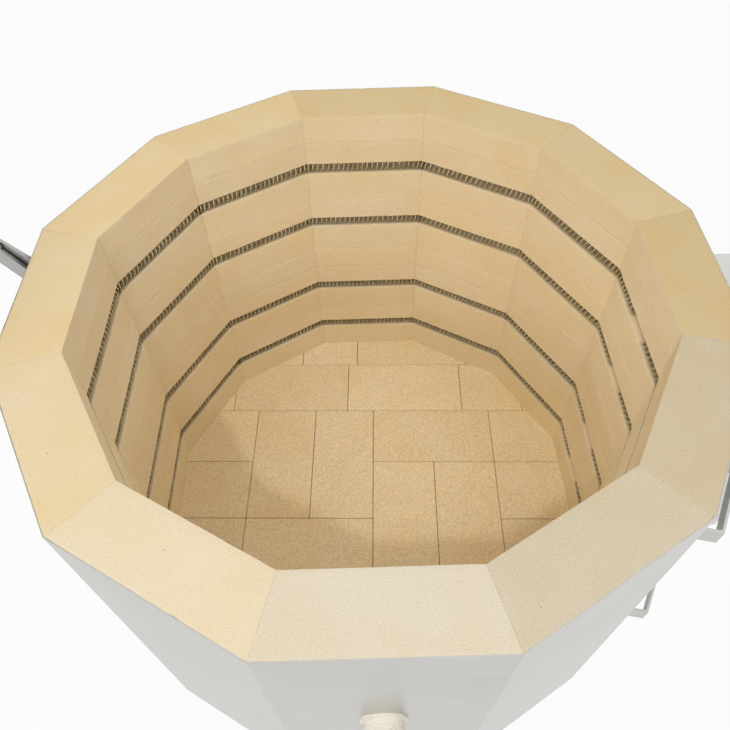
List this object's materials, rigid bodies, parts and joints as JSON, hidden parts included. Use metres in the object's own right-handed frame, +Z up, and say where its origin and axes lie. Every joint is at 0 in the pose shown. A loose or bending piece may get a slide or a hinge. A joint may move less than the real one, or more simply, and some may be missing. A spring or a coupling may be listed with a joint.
{
  "type": "glass fusing kiln",
  "caption": "Twelve-sided top-loading electric kiln: brick chamber with heating coils in wall grooves, hinged brick lid, steel jacket and stand, and a side control box.",
  "frame": {"origin": "on the floor, under the middle of the kiln, in the plane of the feet", "axes": "+Z up out of the chamber, +X towards the control box, -X towards the lid hinge, -Y towards the side with the peepholes, where one stands"},
  "size_m": [1.4127, 0.8892, 1.7308],
  "materials": {
    "firebrick": "matt, open-grained",
    "stainless_sheet": "brushed",
    "painted_steel": "textured powder coat",
    "black_steel": "satin",
    "zinc_plated_steel": "zinc plated",
    "element_wire": "fired oxide skin",
    "white_ceramic": "unglazed",
    "brass_connector": "dull",
    "glass_sleeving": "braided sleeve",
    "controller_plastic": "satin",
    "display_lens": "smoked, polished",
    "key_rubber": "matt",
    "circuit_board": "lacquered",
    "black_plastic": "moulded"
  },
  "bodies": {
    "kiln": {"stand_frame": "painted_steel", "stand_cross_bars": "painted_steel", "stand_legs": "painted_steel", "stand_bolts": "zinc_plated_steel", "stand_nuts": "zinc_plated_steel", "floor_pan": "stainless_sheet", "floor_bricks": "firebrick", "floor_band": "stainless_sheet", "floor_band_clamp": "zinc_plated_steel", "wall_course_1": "firebrick", "wall_course_2": "firebrick", "wall_course_3": "firebrick", "wall_course_4": "firebrick", "wall_course_5": "firebrick", "rim_course": "firebrick", "element_1": "element_wire", "element_2": "element_wire", "element_3": "element_wire", "element_4": "element_wire", "element_bushings": "white_ceramic", "element_connectors": "brass_connector", "element_leads": "glass_sleeving", "jacket_lower": "stainless_sheet", "jacket_upper": "stainless_sheet", "jacket_clamp_lugs": "zinc_plated_steel", "jacket_clamp_screws": "zinc_plated_steel", "lower_handles": "black_steel", "upper_handles": "black_steel", "handle_screws": "zinc_plated_steel", "peephole_ferrules": "stainless_sheet", "hinge_bracket": "black_steel", "hinge_pin": "zinc_plated_steel", "hinge_screws": "zinc_plated_steel", "box_back_plate": "zinc_plated_steel", "box_housing": "painted_steel", "box_standoffs": "zinc_plated_steel", "box_screws": "zinc_plated_steel", "controller_face": "controller_plastic", "controller_board": "circuit_board", "display_window": "display_lens", "switch_body": "black_plastic", "relays": "black_plastic", "terminal_blocks": "white_ceramic", "cord_gland": "black_plastic", "thermocouple": "white_ceramic", "thermocouple_lead": "glass_sleeving"},
    "lid": {"lid_bricks": "firebrick", "lid_band": "stainless_sheet", "lid_band_clamp": "zinc_plated_steel", "lid_hinge_leaf": "black_steel", "leaf_screws": "zinc_plated_steel", "lid_handle": "black_steel", "lid_handle_screws": "zinc_plated_steel"},
    "lower_plug": {"peephole_plug_lower": "white_ceramic"},
    "upper_plug": {"peephole_plug_upper": "white_ceramic"},
    "rocker": {"switch_rocker": "black_plastic"},
    "up_key": {"key_up": "key_rubber"},
    "down_key": {"key_down": "key_rubber"},
    "enter_key": {"key_enter": "key_rubber"}
  },
  "joints": [
    {"name": "lid_hinge", "type": "hinge", "parent": "kiln", "child": "lid", "pos_m": [-0.47157, 0, 0.8354], "axis": [0, 1, 0], "range_deg": [0, 110]},
    {"name": "lower_plug_slide", "type": "slide", "parent": "kiln", "child": "lower_plug", "axis": [0, -1, 0], "range_m": [0, 0.1]},
    {"name": "upper_plug_slide", "type": "slide", "parent": "kiln", "child": "upper_plug", "axis": [0, -1, 0], "range_m": [0, 0.1]},
    {"name": "rocker_pivot", "type": "hinge", "parent": "kiln", "child": "rocker", "pos_m": [0.58007, 0, 0.5135], "axis": [0, -1, 0], "range_deg": [0, 20]},
    {"name": "up_key_press", "type": "slide", "parent": "kiln", "child": "up_key", "axis": [-1, 0, 0], "range_m": [0, 0.0015], "stiffness_N_per_m": 400},
    {"name": "down_key_press", "type": "slide", "parent": "kiln", "child": "down_key", "axis": [-1, 0, 0], "range_m": [0, 0.0015], "stiffness_N_per_m": 400},
    {"name": "enter_key_press", "type": "slide", "parent": "kiln", "child": "enter_key", "axis": [-1, 0, 0], "range_m": [0, 0.0015], "stiffness_N_per_m": 400}
  ]
}
